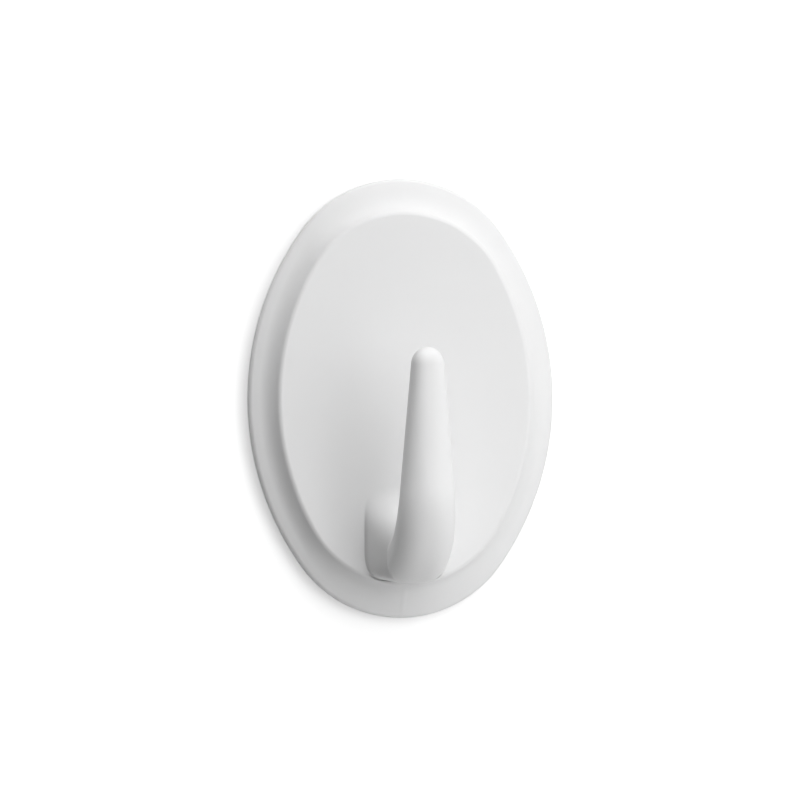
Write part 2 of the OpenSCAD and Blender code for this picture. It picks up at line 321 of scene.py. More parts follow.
def plastic(name, pale, deep, rough, grain, grain_depth, shine, subsurface=0.0):
    """A moulded plastic: its tone drifts slowly, and a fine grain from the mould breaks up its gloss."""
    material, tree = new_material(name)
    place = tree.node("ShaderNodeTexCoord", output="Object")
    drift = place.noise(DRIFT_SCALE, detail=3)
    fine = place.noise(grain, detail=2)
    bump = tree.node(
        "ShaderNodeBump", None, {"Strength": 1.0, "Distance": grain_depth, "Height": fine}
    )
    surface = tree.node(
        "ShaderNodeBsdfPrincipled", {"subsurface_method": "BURLEY"},
        {
            "Base Color": drift.mix(deep, pale),
            "Roughness": rough + DRIFT_DULLING * (drift - MEAN_NOISE) + GRAIN_DULLING * (fine - MEAN_NOISE),
            "Specular IOR Level": shine,
            "Subsurface Weight": subsurface,
            "Subsurface Radius": SUBSURFACE_RADIUS,
            "Subsurface Scale": SUBSURFACE_SCALE,
            "Normal": bump,
        },
    )
    tree.node("ShaderNodeOutputMaterial", None, {"Surface": surface})
    return material


def cover_plastic(finish):
    """Satin white plastic of the cover."""
    return plastic(
        "cover_plastic", finish.cover, finish.cover_deep, rough=0.46, grain=COVER_GRAIN,
        grain_depth=COVER_GRAIN_DEPTH, shine=0.3, subsurface=0.15,
    )


def plate_plastic(finish):
    """Matte white plastic of the base plate."""
    return plastic(
        "plate_plastic", finish.plate, finish.plate_deep, rough=0.55, grain=PLATE_GRAIN,
        grain_depth=PLATE_GRAIN_DEPTH, shine=0.4,
    )


# Patches and hatching of the adhesive, in grains and waves a metre, their depth in metres, and its gloss
PATCH_SCALE = 260
HATCH_SCALE = 420.0
HATCH_WANDER = 0.6
HATCH_DEPTH = 0.00001
GUM_ROUGHNESS = 0.24
PATCH_DULLING = 0.16
GUM_IOR = 1.48


def adhesive_gum(finish):
    """Cream gum with the fine cross-hatch that its release paper leaves in it."""
    material, tree = new_material("adhesive")
    place = tree.node("ShaderNodeTexCoord", output="Object")
    patch = place.noise(PATCH_SCALE, detail=4, roughness=0.6)
    wave = {"wave_type": "BANDS", "bands_direction": "DIAGONAL"}
    turned = tree.node("ShaderNodeMapping", None, {"Vector": place, "Scale": (-1, 1, 1)})
    hatch = {"Scale": HATCH_SCALE, "Distortion": HATCH_WANDER}
    rise = tree.node("ShaderNodeTexWave", wave, {"Vector": place, **hatch})
    fall = tree.node("ShaderNodeTexWave", wave, {"Vector": turned, **hatch})
    bump = tree.node(
        "ShaderNodeBump", None, {"Strength": 0.8, "Distance": HATCH_DEPTH, "Height": rise + fall + patch}
    )
    surface = tree.node(
        "ShaderNodeBsdfPrincipled", None,
        {
            "Base Color": patch.mix(finish.adhesive_deep, finish.adhesive),
            "Roughness": GUM_ROUGHNESS + PATCH_DULLING * patch,
            "IOR": GUM_IOR,
            "Normal": bump,
        },
    )
    tree.node("ShaderNodeOutputMaterial", None, {"Surface": surface})
    return material


# Streaks and clouds of the film in grains a metre, how long a streak is drawn out, how deep it is in metres,
# and how much darker and duller it is
STREAK_SCALE = 1900
STREAK_DRAWN = (1, 1, 0.06)
STREAK_DEPTH = 0.000004
CLOUD_SCALE = 140
FILM_DEEP = 0.9
STREAK_DULLING = 0.12
FILM_IOR = 1.5


def milky_film(name, tone, rough):
    """Milky plastic film, with faint streaks along its length from the roller."""
    material, tree = new_material(name)
    place = tree.node("ShaderNodeTexCoord", output="Object")
    drawn = tree.node("ShaderNodeMapping", None, {"Vector": place, "Scale": STREAK_DRAWN})
    streaks = drawn.noise(STREAK_SCALE, detail=3)
    cloud = place.noise(CLOUD_SCALE, detail=2)
    bump = tree.node("ShaderNodeBump", None, {"Strength": 0.6, "Distance": STREAK_DEPTH, "Height": streaks})
    deep = [channel * FILM_DEEP for channel in tone[:3]] + [1]
    surface = tree.node(
        "ShaderNodeBsdfPrincipled", None,
        {
            "Base Color": (0.5 * streaks + 0.5 * cloud).mix(deep, tone),
            "Roughness": rough + STREAK_DULLING * streaks,
            "IOR": FILM_IOR,
            "Normal": bump,
        },
    )
    tree.node("ShaderNodeOutputMaterial", None, {"Surface": surface})
    return material


# Cells of the foam a metre, the share of a cell that its sunken wall and its painted shade take, how deep it is
# in metres, and its gloss
CELL_SCALE = 5200.0
CELL_WALL = 0.18
CELL_DEPTH = 0.00003
FOAM_ROUGHNESS = 0.85
CELL_SHINE = 0.15


def white_foam(finish):
    """Closed-cell foam: pale cells, with painted shade in the sunken grooves between them."""
    material, tree = new_material("foam")
    place = tree.node("ShaderNodeTexCoord", output="Object")
    cells = tree.node(
        "ShaderNodeTexVoronoi", {"feature": "DISTANCE_TO_EDGE"}, {"Vector": place, "Scale": CELL_SCALE}
    )
    wall = tree.node(
        "ShaderNodeMapRange", None, {"Value": cells, "From Min": 0.0, "From Max": CELL_WALL}
    )
    bump = tree.node("ShaderNodeBump", None, {"Strength": 0.7, "Distance": CELL_DEPTH, "Height": wall})
    surface = tree.node(
        "ShaderNodeBsdfPrincipled", None,
        {
            # Painted shade: the deeper colour falls exactly where the bump sinks the grooves between the cells
            "Base Color": wall.mix(finish.foam_groove_shade, finish.foam),
            "Roughness": FOAM_ROUGHNESS - CELL_SHINE * wall,
            "Normal": bump,
        },
    )
    tree.node("ShaderNodeOutputMaterial", None, {"Surface": surface})
    return material


def stand(across, up, out):
    """A point in the frame: across to the right, up the wall, out of the wall."""
    return Vector((across, -out, up))


def blend(low, high, part):
    """The value at a part of the way from low to high."""
    return low + (high - low) * part


def eased(part):
    """A part from nothing to one that starts and ends gently."""
    return part * part * (3 - 2 * part)


def new_piece(name, mesh, material):
    """Puts a mesh in the scene as a piece with one material."""
    mesh.materials.clear()
    mesh.materials.append(material)
    piece = bpy.data.objects.new(name, mesh)
    bpy.context.scene.collection.objects.link(piece)
    return piece


def skin(name, loops, material, pole=None):
    """A closed piece over loops of equally many points, which starts at a pole or a flat cap."""
    shell = bmesh.new()
    rings = [[shell.verts.new(point) for point in loop] for loop in loops]
    count = len(rings[0])
    after = [(i + 1) % count for i in range(count)]
    for near, far in zip(rings, rings[1:]):
        for i, j in enumerate(after):
            shell.faces.new((near[i], near[j], far[j], far[i]))
    if pole is None:
        shell.faces.new(rings[0])
    else:
        top = shell.verts.new(pole)
        for i, j in enumerate(after):
            shell.faces.new((rings[0][j], rings[0][i], top))
    shell.faces.new(reversed(rings[-1]))
    bmesh.ops.remove_doubles(shell, verts=shell.verts, dist=SKIN_WELD)
    bmesh.ops.recalc_face_normals(shell, faces=shell.faces)
    mesh = bpy.data.meshes.new(name)
    shell.to_mesh(mesh)
    shell.free()
    mesh.shade_smooth()
    mesh.set_sharp_from_angle(angle=SHARP_ANGLE)
    return new_piece(name, mesh, material)


class Oval:
    """An oval of four arcs, met by the direction of its outward normal."""

    def __init__(self, half_w, half_h, end_radius):
        self.end_radius = end_radius
        self.end_up = half_h - end_radius
        spread = half_w ** 2 + self.end_up ** 2 - end_radius ** 2
        self.side_radius = spread / (2 * (half_w - end_radius))
        self.side_in = self.side_radius - half_w
        self.joint = math.atan2(self.end_up, self.side_in)

    def point(self, turn):
        across = abs(math.cos(turn))
        up = abs(math.sin(turn))
        if math.atan2(up, across) < self.joint:
            x = self.side_radius * across - self.side_in
            z = self.side_radius * up
        else:
            x = self.end_radius * across
            z = self.end_up + self.end_radius * up
        return Vector((math.copysign(x, math.cos(turn)), math.copysign(z, math.sin(turn))))


def column_turns(oval, seam_w):
    """Directions of the mesh's columns round an oval, closer at the bottom, by the arm, and at the seam."""
    half_seam = seam_w / 2 / oval.end_radius
    seam = [QUARTER - half_seam * i / SEAM_STEPS for i in range(SEAM_STEPS + 1)]
    side = [oval.joint * i / SIDE_STEPS for i in range(SIDE_STEPS)]
    upper = side + seam + [blend(oval.joint, QUARTER, i / END_STEPS) for i in range(END_STEPS)]
    lower = side + seam + [blend(oval.joint, QUARTER, i / LOW_END_STEPS) for i in range(LOW_END_STEPS)]
    turns = set()
    for turn in upper:
        turns.update((turn, 2 * QUARTER - turn))
    for turn in lower:
        turns.update((2 * QUARTER + turn, 4 * QUARTER - turn))
    return sorted(set(round(turn % (4 * QUARTER), DIGITS) for turn in turns))


def arc(first, last, steps):
    """Angles from first to last."""
    return [blend(first, last, i / steps) for i in range(steps + 1)]


# Where the neck lies along the root, how much of the rise to the belly lies in the root too,
# and how much closer the belly's rings lie towards the neck
NECK_PART = 0.93
RISE_IN_ROOT = 0.22
CLOSER = 1.4


class HookArm:
    """The hook arm, as rings between its inner side, which holds the load, and its outer side.
    A point of either side is [distance from the face, height]."""

    def __init__(self, sizes, face_out):
        self.sizes = sizes
        self.face_out = face_out
        self.throat_r = sizes.throat_w / 2
        self.belly_drop = sizes.belly_down - sizes.root_top_down
        self.belly_out = sizes.throat_w + sizes.stem_t - sizes.belly_reach
        self.belly_start = math.asin(sizes.belly_reach / self.belly_out)
        self.belly_foot = sizes.root_top_down + self.belly_drop * math.cos(self.belly_start)
        self.stem_top = sizes.tip_up - sizes.tip_len
        self.root_middle = Vector((0, -(sizes.root_top_down + sizes.root_bottom_down) / 2))

    def inner(self, turn):
        s = self.sizes
        return Vector((
            self.throat_r * (1 + math.sin(turn)),
            -s.root_top_down - s.throat_d * math.cos(turn),
        ))

    def outer(self, turn):
        s = self.sizes
        return Vector((
            s.belly_reach + self.belly_out * math.sin(turn),
            -s.root_top_down - self.belly_drop * math.cos(turn),
        ))

    def rise(self, part):
        """Width of the arm between its neck and the widest part of its belly."""
        return blend(self.sizes.neck_w, self.sizes.belly_w, eased(part))

    def root(self, part):
        """A station of the arm: [inner point, outer point, half width, squareness of either side]."""
        s = self.sizes
        low = self.outer(blend(-self.belly_start, 0, part))
        low.y -= (s.root_bottom_down - self.belly_foot) * (1 - part) ** 2
        if part < NECK_PART:
            width = blend(s.root_w, s.neck_w, eased(part / NECK_PART))
        else:
            width = self.rise((part - NECK_PART) / (1 - NECK_PART) * RISE_IN_ROOT)
        squares = (
            blend(s.saddle_square, s.root_square, (1 - part) ** 2),
            blend(s.root_square, s.belly_square, part),
        )
        return self.inner(blend(-QUARTER, 0, part)), low, width / 2, squares

    def belly(self, part):
        s = self.sizes
        turn = QUARTER * part
        if part < s.belly_widest:
            width = self.rise(blend(RISE_IN_ROOT, 1, part / s.belly_widest))
        else:
            slim = (part - s.belly_widest) / (1 - s.belly_widest)
            width = blend(s.belly_w, s.stem_w, slim ** s.belly_slim)
        squares = (s.saddle_square, blend(s.belly_square, s.foot_square, math.sqrt(part)))
        return self.inner(turn), self.outer(turn), width / 2, squares

    def stem(self, part):
        s = self.sizes
        top = Vector((s.tip_reach, self.stem_top))
        half_t = Vector((s.tip_t / 2, 0))
        near = self.inner(QUARTER).lerp(top - half_t, part)
        far = self.outer(QUARTER).lerp(top + half_t, part)
        squares = (s.saddle_square, blend(s.foot_square, s.stem_square, part))
        return near, far, blend(s.stem_w, s.tip_w, part) / 2, squares

    def tip(self, part):
        s = self.sizes
        slim = math.cos(QUARTER * part)
        middle = Vector((s.tip_reach, self.stem_top + s.tip_len * math.sin(QUARTER * part)))
        half_t = Vector((s.tip_t / 2 * slim, 0))
        return middle - half_t, middle + half_t, s.tip_w / 2 * slim, (s.saddle_square, s.stem_square)

    def fillet(self, out):
        """How far the fillet at the root spreads, at a distance from the face."""
        radius = self.sizes.root_fillet
        left = 1 - out / radius
        return radius * (1 - math.sqrt(1 - left ** 2)) if left > 0 else 0

    def point(self, station, turn, grown=0.0):
        """A point on the ring of a station, which may be grown a little all round."""
        near, far, half_w, squares = station
        middle = (near + far) / 2
        half = (near - far) / 2
        across = math.cos(turn)
        along = math.sin(turn)
        square = squares[0] if along > 0 else squares[1]
        reach = (abs(across) ** square + abs(along) ** square) ** (-1 / square)
        spread = grown + self.fillet(middle.x + half.x * reach * along)
        side = middle + half * (1 + spread / half.length) * reach * along
        return stand((half_w + spread) * reach * across, side.y, self.face_out + max(0, side.x))

    def stations(self):
        """Stations from the tip down to the root on the face."""
        stations = [self.tip(i / TIP_STEPS) for i in reversed(range(1, TIP_STEPS))]
        stations += [self.stem(i / STEM_STEPS) for i in reversed(range(1, STEM_STEPS + 1))]
        stations += [self.belly((i / BELLY_STEPS) ** CLOSER) for i in reversed(range(1, BELLY_STEPS + 1))]
        stations += [self.root(eased(i / ROOT_STEPS)) for i in reversed(range(ROOT_STEPS + 1))]
        return stations

    def rings(self, turns, support):
        """Rings of all stations, and one on the face just outside the root."""
        rings = [[self.point(station, turn) for turn in turns] for station in self.stations()]
        rings.append([self.point(self.root(0), turn, support) for turn in turns])
        return rings

    def pole(self):
        return stand(0, self.sizes.tip_up, self.face_out + self.sizes.tip_reach)


# Most of the room between the root and the face's edge that the rounding of the edge may take
EDGE_SHARE = 0.6


class Column:
    """One section of the shell: in front on a line from the outer edge to the face's edge, behind on a line
    square to the outer edge."""

    def __init__(self, outer, edge, square_in, arm, edge_half):
        self.outer = outer
        self.inward = (edge - outer).normalized()
        self.square_in = square_in
        self.rim = (edge - outer).length
        from_root = edge - arm.root_middle
        self.turn = math.atan2(from_root.y, from_root.x)
        root = arm.point(arm.root(0), self.turn)
        room = (edge - Vector((root.x, root.z))).length
        self.edge_half = min(edge_half, room * EDGE_SHARE)


class CoverShell:
    """The oval shell of the cover, as sections round the oval."""

    def __init__(self, sizes, arm_sizes):
        self.sizes = sizes
        self.back_out = -cover_high.y
        self.lip_out = self.back_out + sizes.lip_t
        self.face_out = self.lip_out + sizes.face_rise
        self.ceiling_out = self.face_out - sizes.wall_t
        self.arm = HookArm(arm_sizes, self.face_out)
        half_w, half_h = cover_high.x, cover_high.z
        outer = Oval(half_w, half_h, sizes.end_radius)
        edge = Oval(half_w - sizes.side_rim, half_h - sizes.end_rim, sizes.face_end_radius)
        edge_half = sizes.edge_round * math.tan(sizes.cove_slope / 2)
        self.columns = []
        for turn in column_turns(outer, sizes.seam_w):
            square_in = -Vector((math.cos(turn), math.sin(turn)))
            self.columns.append(Column(outer.point(turn), edge.point(turn), square_in, self.arm, edge_half))

    def seam_height(self, spot):
        """Height of the moulding seam: full on the lower rim, faint elsewhere, nothing off the middle."""
        half = self.sizes.seam_w / 2
        if abs(spot.x) >= half:
            return 0
        full = self.sizes.seam_h * math.cos(QUARTER * spot.x / half) ** 2
        return full if spot.y < 0 else full * self.sizes.seam_face_share

    def front(self, column):
        """Section from the flat face over the hollow rim to the lip's outer wall, as
        [distance inside the outer edge, distance out of the wall, share of the seam]."""
        s = self.sizes
        steep = s.cove_slope
        half = column.edge_half
        radius = half / math.tan(steep / 2)
        flat = column.rim + half
        section = [(flat + s.support, self.face_out, s.seam_face_share)]
        for turn in arc(0, steep, ROUND_STEPS):
            out = self.face_out - radius * (1 - math.cos(turn))
            section.append((flat - radius * math.sin(turn), out, s.seam_face_share))
        section += [(spot.x, spot.y, 1) for spot in self.cove(column)]
        slope = s.land_slope
        top = self.lip_out - math.tan(slope) * (s.land - s.lip_round * (1 - math.sin(slope)))
        middle = top - s.lip_round * math.cos(slope)
        for turn in arc(slope, QUARTER, ROUND_STEPS):
            section.append((s.lip_round * (1 - math.sin(turn)), middle + s.lip_round * math.cos(turn), 1))
        return section

    def cove(self, column):
        """The hollow of the rim, from below the face's edge down to the sloping land."""
        s = self.sizes
        steep = Vector((math.cos(s.cove_slope), math.sin(s.cove_slope)))
        slope = Vector((math.cos(s.land_slope), math.sin(s.land_slope)))
        foot = Vector((s.land, self.lip_out))
        head = Vector((column.rim, self.face_out)) - steep * s.edge_round * math.tan(s.cove_slope / 2)
        reach = (head - foot).length * s.cove_curve
        out_of_foot = foot + slope * reach
        into_head = head - steep * reach
        spots = []
        for i in reversed(range(COVE_STEPS + 1)):
            part = i / COVE_STEPS
            low = foot.lerp(out_of_foot, part).lerp(out_of_foot.lerp(into_head, part), part)
            high = out_of_foot.lerp(into_head, part).lerp(into_head.lerp(head, part), part)
            spots.append(low.lerp(high, part))
        return spots

    def back(self):
        """Section from the lip's outer wall over the back and the hollow to the ceiling, as
        [distance inside the outer edge, distance out of the wall]."""
        s = self.sizes
        section = []
        for turn in arc(QUARTER, 0, ROUND_STEPS):
            inside = s.back_round * (1 - math.sin(turn))
            section.append((inside, self.back_out + s.back_round * (1 - math.cos(turn))))
        radius = s.face_rise + s.rim_wall_t
        first = math.asin((self.face_out - self.back_out) / radius)
        last = math.asin((self.face_out - self.ceiling_out) / radius)
        for turn in arc(first, last, HOLLOW_STEPS):
            inside = s.hollow_in + radius * math.cos(turn)
            section.append((inside, self.face_out - radius * math.sin(turn)))
        return section

    def loops(self):
        """Loops from the flat face over the rim and the back to the dimple."""
        lines = []
        for column in self.columns:
            line = []
            for inside, out, seam in self.front(column):
                spot = column.outer + column.inward * inside
                line.append(stand(spot.x, spot.y, out + seam * self.seam_height(spot)))
            for inside, out in self.back():
                spot = column.outer + column.square_in * inside
                line.append(stand(spot.x, spot.y, out))
            lines.append(line)
        loops = [list(loop) for loop in zip(*lines)]
        s = self.sizes
        middle = Vector((0, s.dimple_up))
        for out in (self.ceiling_out, self.ceiling_out + s.dimple_t):
            loop = []
            for column in self.columns:
                spot = middle + (column.outer - middle).normalized() * s.dimple_r
                loop.append(stand(spot.x, spot.y, out))
            loops.append(loop)
        return loops


class HOOK_OT_mould_cover(bpy.types.Operator):
    """Mould the oval cover with its hollow rim, raised face and hook arm"""

    bl_idname = "wall_hook.mould_cover"
    bl_label = "Mould Cover"

    def execute(self, context):
        hook = context.scene.wall_hook
        shell = CoverShell(hook.cover, hook.arm)
        turns = [column.turn for column in shell.columns]
        loops = shell.arm.rings(turns, hook.cover.support) + shell.loops()
        cover = skin("hook_cover_shell", loops, cover_plastic(hook.finish), shell.arm.pole())
        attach(cover, "cover")
        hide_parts("hook_cover")
        return {"FINISHED"}


class NodeTree:
    """A geometry tree with named inputs, built in the order in which its nodes are added."""

    def __init__(self, name):
        self.tree = bpy.data.node_groups.new(name, "GeometryNodeTree")
        self.tree.interface.new_socket("Geometry", in_out="OUTPUT", socket_type="NodeSocketGeometry")
        self.inputs = self.tree.nodes.new("NodeGroupInput")
        self.identifiers = {}

    def input(self, name, kind="NodeSocketFloat"):
        """Adds a named input and returns its socket."""
        socket = self.tree.interface.new_socket(name, in_out="INPUT", socket_type=kind)
        self.identifiers[name] = socket.identifier
        return self.inputs.outputs[name]

    def node(self, kind, settings=None, inputs=None, output=0):
        """Adds a node of any kind: first its settings, then the values or links of its sockets."""
        made = self.tree.nodes.new(kind)
        for name, value in (settings or {}).items():
            setattr(made, name, value)
        for name, value in (inputs or {}).items():
            links = value if isinstance(value, list) else [value]
            for link in links:
                if isinstance(link, bpy.types.NodeSocket):
                    self.tree.links.new(link, made.inputs[name])
                else:
                    made.inputs[name].default_value = link
        return made.outputs[output] if made.outputs else None

    def vector(self, x=0.0, y=0.0, z=0.0):
        return self.node("ShaderNodeCombineXYZ", None, {"X": x, "Y": y, "Z": z})

    def block(self, size, place):
        """A block of a size at a place."""
        cube = self.node("GeometryNodeMeshCube", None, {"Size": size})
        return self.node("GeometryNodeTransform", None, {"Geometry": cube, "Translation": place})

    def finish(self, geometry, material):
        """Ends the tree in real geometry with one material."""
        real = self.node("GeometryNodeRealizeInstances", None, {"Geometry": geometry})
        dressed = self.node("GeometryNodeSetMaterial", None, {"Geometry": real, "Material": material})
        self.node("NodeGroupOutput", None, {"Geometry": dressed})


def run_tree(name, nodes, values, material):
    """Runs a geometry tree on an empty mesh and turns the result into a plain piece."""
    maker = bpy.data.objects.new(name + "_maker", bpy.data.meshes.new(name + "_maker"))
    bpy.context.scene.collection.objects.link(maker)
    modifier = maker.modifiers.new("Nodes", "NODES")
    modifier.node_group = nodes.tree
    for label, value in values.items():
        modifier[nodes.identifiers[label]] = value
    graph = bpy.context.evaluated_depsgraph_get()
    mesh = bpy.data.meshes.new_from_object(maker.evaluated_get(graph))
    maker.modifiers.remove(modifier)
    bpy.data.objects.remove(maker)
    mesh.name = name
    solid = bmesh.new()
    solid.from_mesh(mesh)
    bmesh.ops.remove_doubles(solid, verts=solid.verts, dist=WELD)
    bmesh.ops.recalc_face_normals(solid, faces=solid.faces)
    solid.to_mesh(mesh)
    solid.free()
    return new_piece(name, mesh, material)


# Segments of an eased edge, and how far the large faces set the shading beside it
EASED_SEGMENTS = 3
LARGE_FACES_LEAD = 100


def ease_edges(piece, width):
    """Eases the sharp edges of a piece, as a mould does."""
    piece.data.shade_smooth()
    bevel = piece.modifiers.new("Eased edges", "BEVEL")
    bevel.width = width
    bevel.segments = EASED_SEGMENTS
    bevel.limit_method = "ANGLE"
    bevel.angle_limit = SHARP_ANGLE
    normals = piece.modifiers.new("Flat faces", "WEIGHTED_NORMAL")
    normals.weight = LARGE_FACES_LEAD


def lug_tree(material):
    """Four L-shaped lugs: one on the right is stacked up the wall, and the pair is mirrored to the left."""
    tree = NodeTree("Lugs")
    wall_size = tree.input("Wall Size", "NodeSocketVector")
    wall_place = tree.input("Wall Place", "NodeSocketVector")
    foot_size = tree.input("Foot Size", "NodeSocketVector")
    foot_place = tree.input("Foot Place", "NodeSocketVector")
    low = tree.input("Low")
    pitch = tree.input("Pitch")
    wall = tree.block(wall_size, wall_place)
    foot = tree.block(foot_size, foot_place)
    lug = tree.node(
        "GeometryNodeMeshBoolean", {"operation": "UNION", "solver": "MANIFOLD"}, {"Mesh 2": [wall, foot]}
    )
    spots = tree.node(
        "GeometryNodeMeshLine", None,
        {"Count": 2, "Start Location": tree.vector(z=low), "Offset": tree.vector(z=pitch)},
    )
    right = tree.node("GeometryNodeInstanceOnPoints", None, {"Points": spots, "Instance": lug})
    left = tree.node("GeometryNodeTransform", None, {"Geometry": right, "Scale": (-1, 1, 1)})
    both = tree.node("GeometryNodeJoinGeometry", None, {"Geometry": [right, left]})
    tree.finish(both, material)
    return tree


def stop_tree(material):
    """The bar that lands on the top edge of the base plate."""
    tree = NodeTree("Stop")
    bar = tree.block(tree.input("Size", "NodeSocketVector"), tree.input("Place", "NodeSocketVector"))
    tree.finish(bar, material)
    return tree


class HOOK_OT_mould_lugs(bpy.types.Operator):
    """Mould the lugs and the stop behind the cover"""

    bl_idname = "wall_hook.mould_lugs"
    bl_label = "Mould Lugs"

    def execute(self, context):
        hook = context.scene.wall_hook
        s = hook.lugs
        shell = CoverShell(hook.cover, hook.arm)
        material = bpy.data.materials["cover_plastic"]
        height = shell.ceiling_out + s.sunk - shell.back_out
        middle = shell.back_out + height / 2
        reach = s.lug_outside - s.lug_inside
        lugs = run_tree("cover_lugs", lug_tree(material), {
            "Wall Size": (s.lug_t, height, s.lug_h),
            "Wall Place": stand(s.lug_outside - s.lug_t / 2, 0, middle),
            "Foot Size": (reach, s.lug_foot, s.lug_h),
            "Foot Place": stand(s.lug_outside - reach / 2, 0, shell.back_out + s.lug_foot / 2),
            "Low": -s.lug_low,
            "Pitch": s.lug_pitch,
        }, material)
        stop = run_tree("cover_stop", stop_tree(material), {
            "Size": (s.stop_w, height, s.lug_t),
            "Place": stand(0, plate_high.z + s.stop_gap + s.lug_t / 2, middle),
        }, material)
        for piece in (lugs, stop):
            ease_edges(piece, s.eased)
            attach(piece, "cover")
        return {"FINISHED"}


class HOOK_OT_mould_plate(bpy.types.Operator):
    """Mould the base plate, with its edges eased"""

    bl_idname = "wall_hook.mould_plate"
    bl_label = "Mould Plate"

    def execute(self, context):
        hook = context.scene.wall_hook
        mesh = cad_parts["base_plate"].data.copy()
        mesh.name = "wall_plate"
        solid = bmesh.new()
        solid.from_mesh(mesh)
        bmesh.ops.remove_doubles(solid, verts=solid.verts, dist=WELD)
        bmesh.ops.dissolve_limit(solid, angle_limit=FLAT_ANGLE, verts=solid.verts, edges=solid.edges)
        solid.to_mesh(mesh)
        solid.free()
        plate = new_piece("wall_plate", mesh, plate_plastic(hook.finish))
        ease_edges(plate, hook.lugs.eased)
        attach(plate, "base")
        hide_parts("base_plate")
        return {"FINISHED"}


def strip_layer(node, name, material, sizes, round_top, round_bottom):
    """A layer of the strip over a packed one, in rows, with its corners rounded."""
    low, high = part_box(node)
    half_w = (high.x - low.x) / 2
    radius = sizes.corner
    heights = [high.z, low.z]
    if round_top:
        heights += [high.z - radius * (1 - math.cos(turn)) for turn in arc(0, QUARTER, ROUND_STEPS)]
    if round_bottom:
        heights += [low.z + radius * (1 - math.cos(turn)) for turn in arc(0, QUARTER, ROUND_STEPS)]
    rows = math.ceil((high.z - low.z) / sizes.row)
    plain_top = high.z - radius if round_top else high.z
    plain_bottom = low.z + radius if round_bottom else low.z
    heights += [blend(plain_bottom, plain_top, i / rows) for i in range(rows + 1)]
    loops = []
    for height in sorted(set(round(h, DIGITS) for h in heights), reverse=True):
        from_end = radius
        if round_top:
            from_end = min(from_end, high.z - height)
        if round_bottom:
            from_end = min(from_end, height - low.z)
        across = half_w - radius + math.sqrt(max(0, radius ** 2 - (radius - from_end) ** 2))
        loops.append([
            Vector((-across, low.y, height)), Vector((across, low.y, height)),
            Vector((across, high.y, height)), Vector((-across, high.y, height)),
        ])
    return skin(name, loops, material)


class HOOK_OT_lay_strip(bpy.types.Operator):
    """Lay the five layers of the stretch-release strip"""

    bl_idname = "wall_hook.lay_strip"
    bl_label = "Lay Strip"

    def execute(self, context):
        hook = context.scene.wall_hook
        gum = adhesive_gum(hook.finish)
        film = milky_film("carrier_film", hook.finish.film, rough=0.3)
        foam = white_foam(hook.finish)
        layers = (
            ("plate_adhesive", "strip_front_gum", gum, "adhesive", False),
            ("plate_film", "strip_front_film", film, "carrier_film", True),
            ("foam_core", "strip_foam", foam, "foam", True),
            ("wall_film", "strip_back_film", film, "carrier_film", True),
            ("wall_adhesive", "strip_back_gum", gum, "adhesive", False),
        )
        for node, name, material, slot, round_bottom in layers:
            layer = strip_layer(node, name, material, hook.strip, round_top=True, round_bottom=round_bottom)
            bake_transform(layer)
            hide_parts(node)
        return {"FINISHED"}


class HOOK_OT_lay_tab(bpy.types.Operator):
    """Lay the films on the two sides of the pull tab"""

    bl_idname = "wall_hook.lay_tab"
    bl_label = "Lay Tab"

    def execute(self, context):
        hook = context.scene.wall_hook
        film = milky_film("tab_film", hook.finish.tab, rough=0.34)
        for node, name in (("tab_front_film", "tab_front"), ("tab_back_film", "tab_back")):
            layer = strip_layer(node, name, film, hook.strip, round_top=False, round_bottom=True)
            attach(layer, "pull_tab")
            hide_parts(node)
        return {"FINISHED"}


# Half the size of the wall behind the hook, and its distance behind the strip
WALL_HALF = 0.6
WALL_GAP = 0.00005

# The side of a large and of a small square lamp, in metres
LARGE_LAMP = 0.75
SMALL_LAMP = 0.35

# The lamps: the place of each, [across, up, out], and its size
LAMPS = {
    "key": ((0.33, 0.26, 0.74), LARGE_LAMP),
    "side": ((0.6, 0, 0.6), LARGE_LAMP),
    "front": ((0.08, 0.3, 0.8), LARGE_LAMP),
    "top": ((0, 0.82, 0.21), LARGE_LAMP),
    "low": ((0.37, -0.73, 0.22), LARGE_LAMP),
    "back": ((0, 0.1, -0.5), SMALL_LAMP),
}

# Share of the camera's distance from which it sees things
NEAR_SHARE = 0.1


def aim(thing, place, target):
    """Puts a lamp or a camera at a place and turns it to a target."""
    thing.location = place
    thing.rotation_mode = "QUATERNION"
    thing.rotation_quaternion = (target - place).to_track_quat("-Z", "Y")
    bpy.context.scene.collection.objects.link(thing)


def lamp(name, place, size, watts):
    """A soft square lamp that points at the hook."""
    light = bpy.data.lights.new(name, "AREA")
    light.shape = "SQUARE"
    light.size = size
    light.energy = watts
    aim(bpy.data.objects.new(name, light), stand(*place), Vector())


# Rays that see the background as plain white
WHITE_RAYS = ("Is Camera Ray", "Is Transmission Ray")


def white_rays(tree):
    """One for the rays that see the background as plain white, nothing for the rest."""
    rays = [tree.node("ShaderNodeLightPath", output=name) for name in WHITE_RAYS]
    white = rays[0]
    for ray in rays[1:]:
        white = white.math("MAXIMUM", white, ray)
    return white


def wall_paint(settings, tone):
    """White paint with the hook's shadow on it. A view from behind passes it, and so does the back lamp."""
    material, tree = new_material("wall_paint")
    behind = tree.node("ShaderNodeNewGeometry", output="Backfacing")
    passed = tree.node("ShaderNodeLightPath", output="Transparent Depth")
    paint = tree.node("ShaderNodeBsdfDiffuse", None, {"Color": tone})
    glow = tree.node("ShaderNodeEmission", None, {"Strength": settings.wall_glow * white_rays(tree)})
    white = tree.node("ShaderNodeAddShader", None, {0: paint, 1: glow})
    clear = tree.node("ShaderNodeBsdfTransparent")
    solid = (1 - behind) * (1 - passed.math("MINIMUM", passed, 1))
    surface = tree.node("ShaderNodeMixShader", None, {0: solid, 1: clear, 2: white})
    tree.node("ShaderNodeOutputMaterial", None, {"Surface": surface})
    return material


